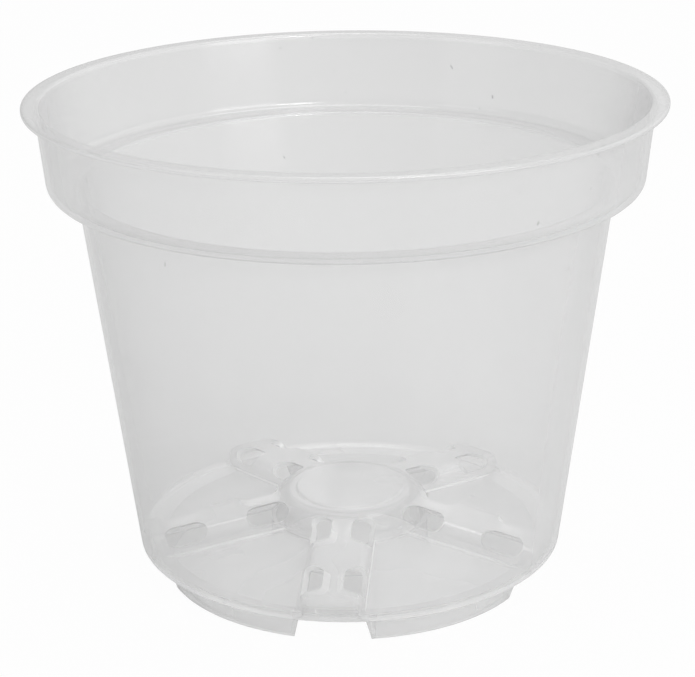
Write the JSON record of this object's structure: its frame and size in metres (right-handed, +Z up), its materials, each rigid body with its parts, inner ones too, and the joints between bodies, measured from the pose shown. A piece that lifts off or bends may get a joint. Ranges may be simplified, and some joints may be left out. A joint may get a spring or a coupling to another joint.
{
  "type": "orchid pot",
  "caption": "Clear tapered plant pot with a tall stepped collar, a flat lip, a raised floor with flat-roofed slotted drain tunnels, and a notched foot ring.",
  "frame": {"origin": "centre of the circle that the foot stands on", "axes": "+Z up along the pot's axis, -Y along the first drain tunnel and the middle of its foot notch"},
  "size_m": [0.15, 0.15, 0.1182],
  "materials": {
    "clear_plastic": "gloss"
  },
  "bodies": {
    "root": {"base_ring": "clear_plastic", "body_wall": "clear_plastic", "centre_boss": "clear_plastic", "collar_band": "clear_plastic", "collar_ledge": "clear_plastic", "drain_tunnel_1": "clear_plastic", "drain_tunnel_2": "clear_plastic", "drain_tunnel_3": "clear_plastic", "drain_tunnel_4": "clear_plastic", "drain_tunnel_5": "clear_plastic", "floor_panel_1": "clear_plastic", "floor_panel_2": "clear_plastic", "floor_panel_3": "clear_plastic", "floor_panel_4": "clear_plastic", "floor_panel_5": "clear_plastic", "foot_segment_1": "clear_plastic", "foot_segment_2": "clear_plastic", "foot_segment_3": "clear_plastic", "foot_segment_4": "clear_plastic", "foot_segment_5": "clear_plastic", "rim_lip": "clear_plastic"}
  },
  "joints": []
}
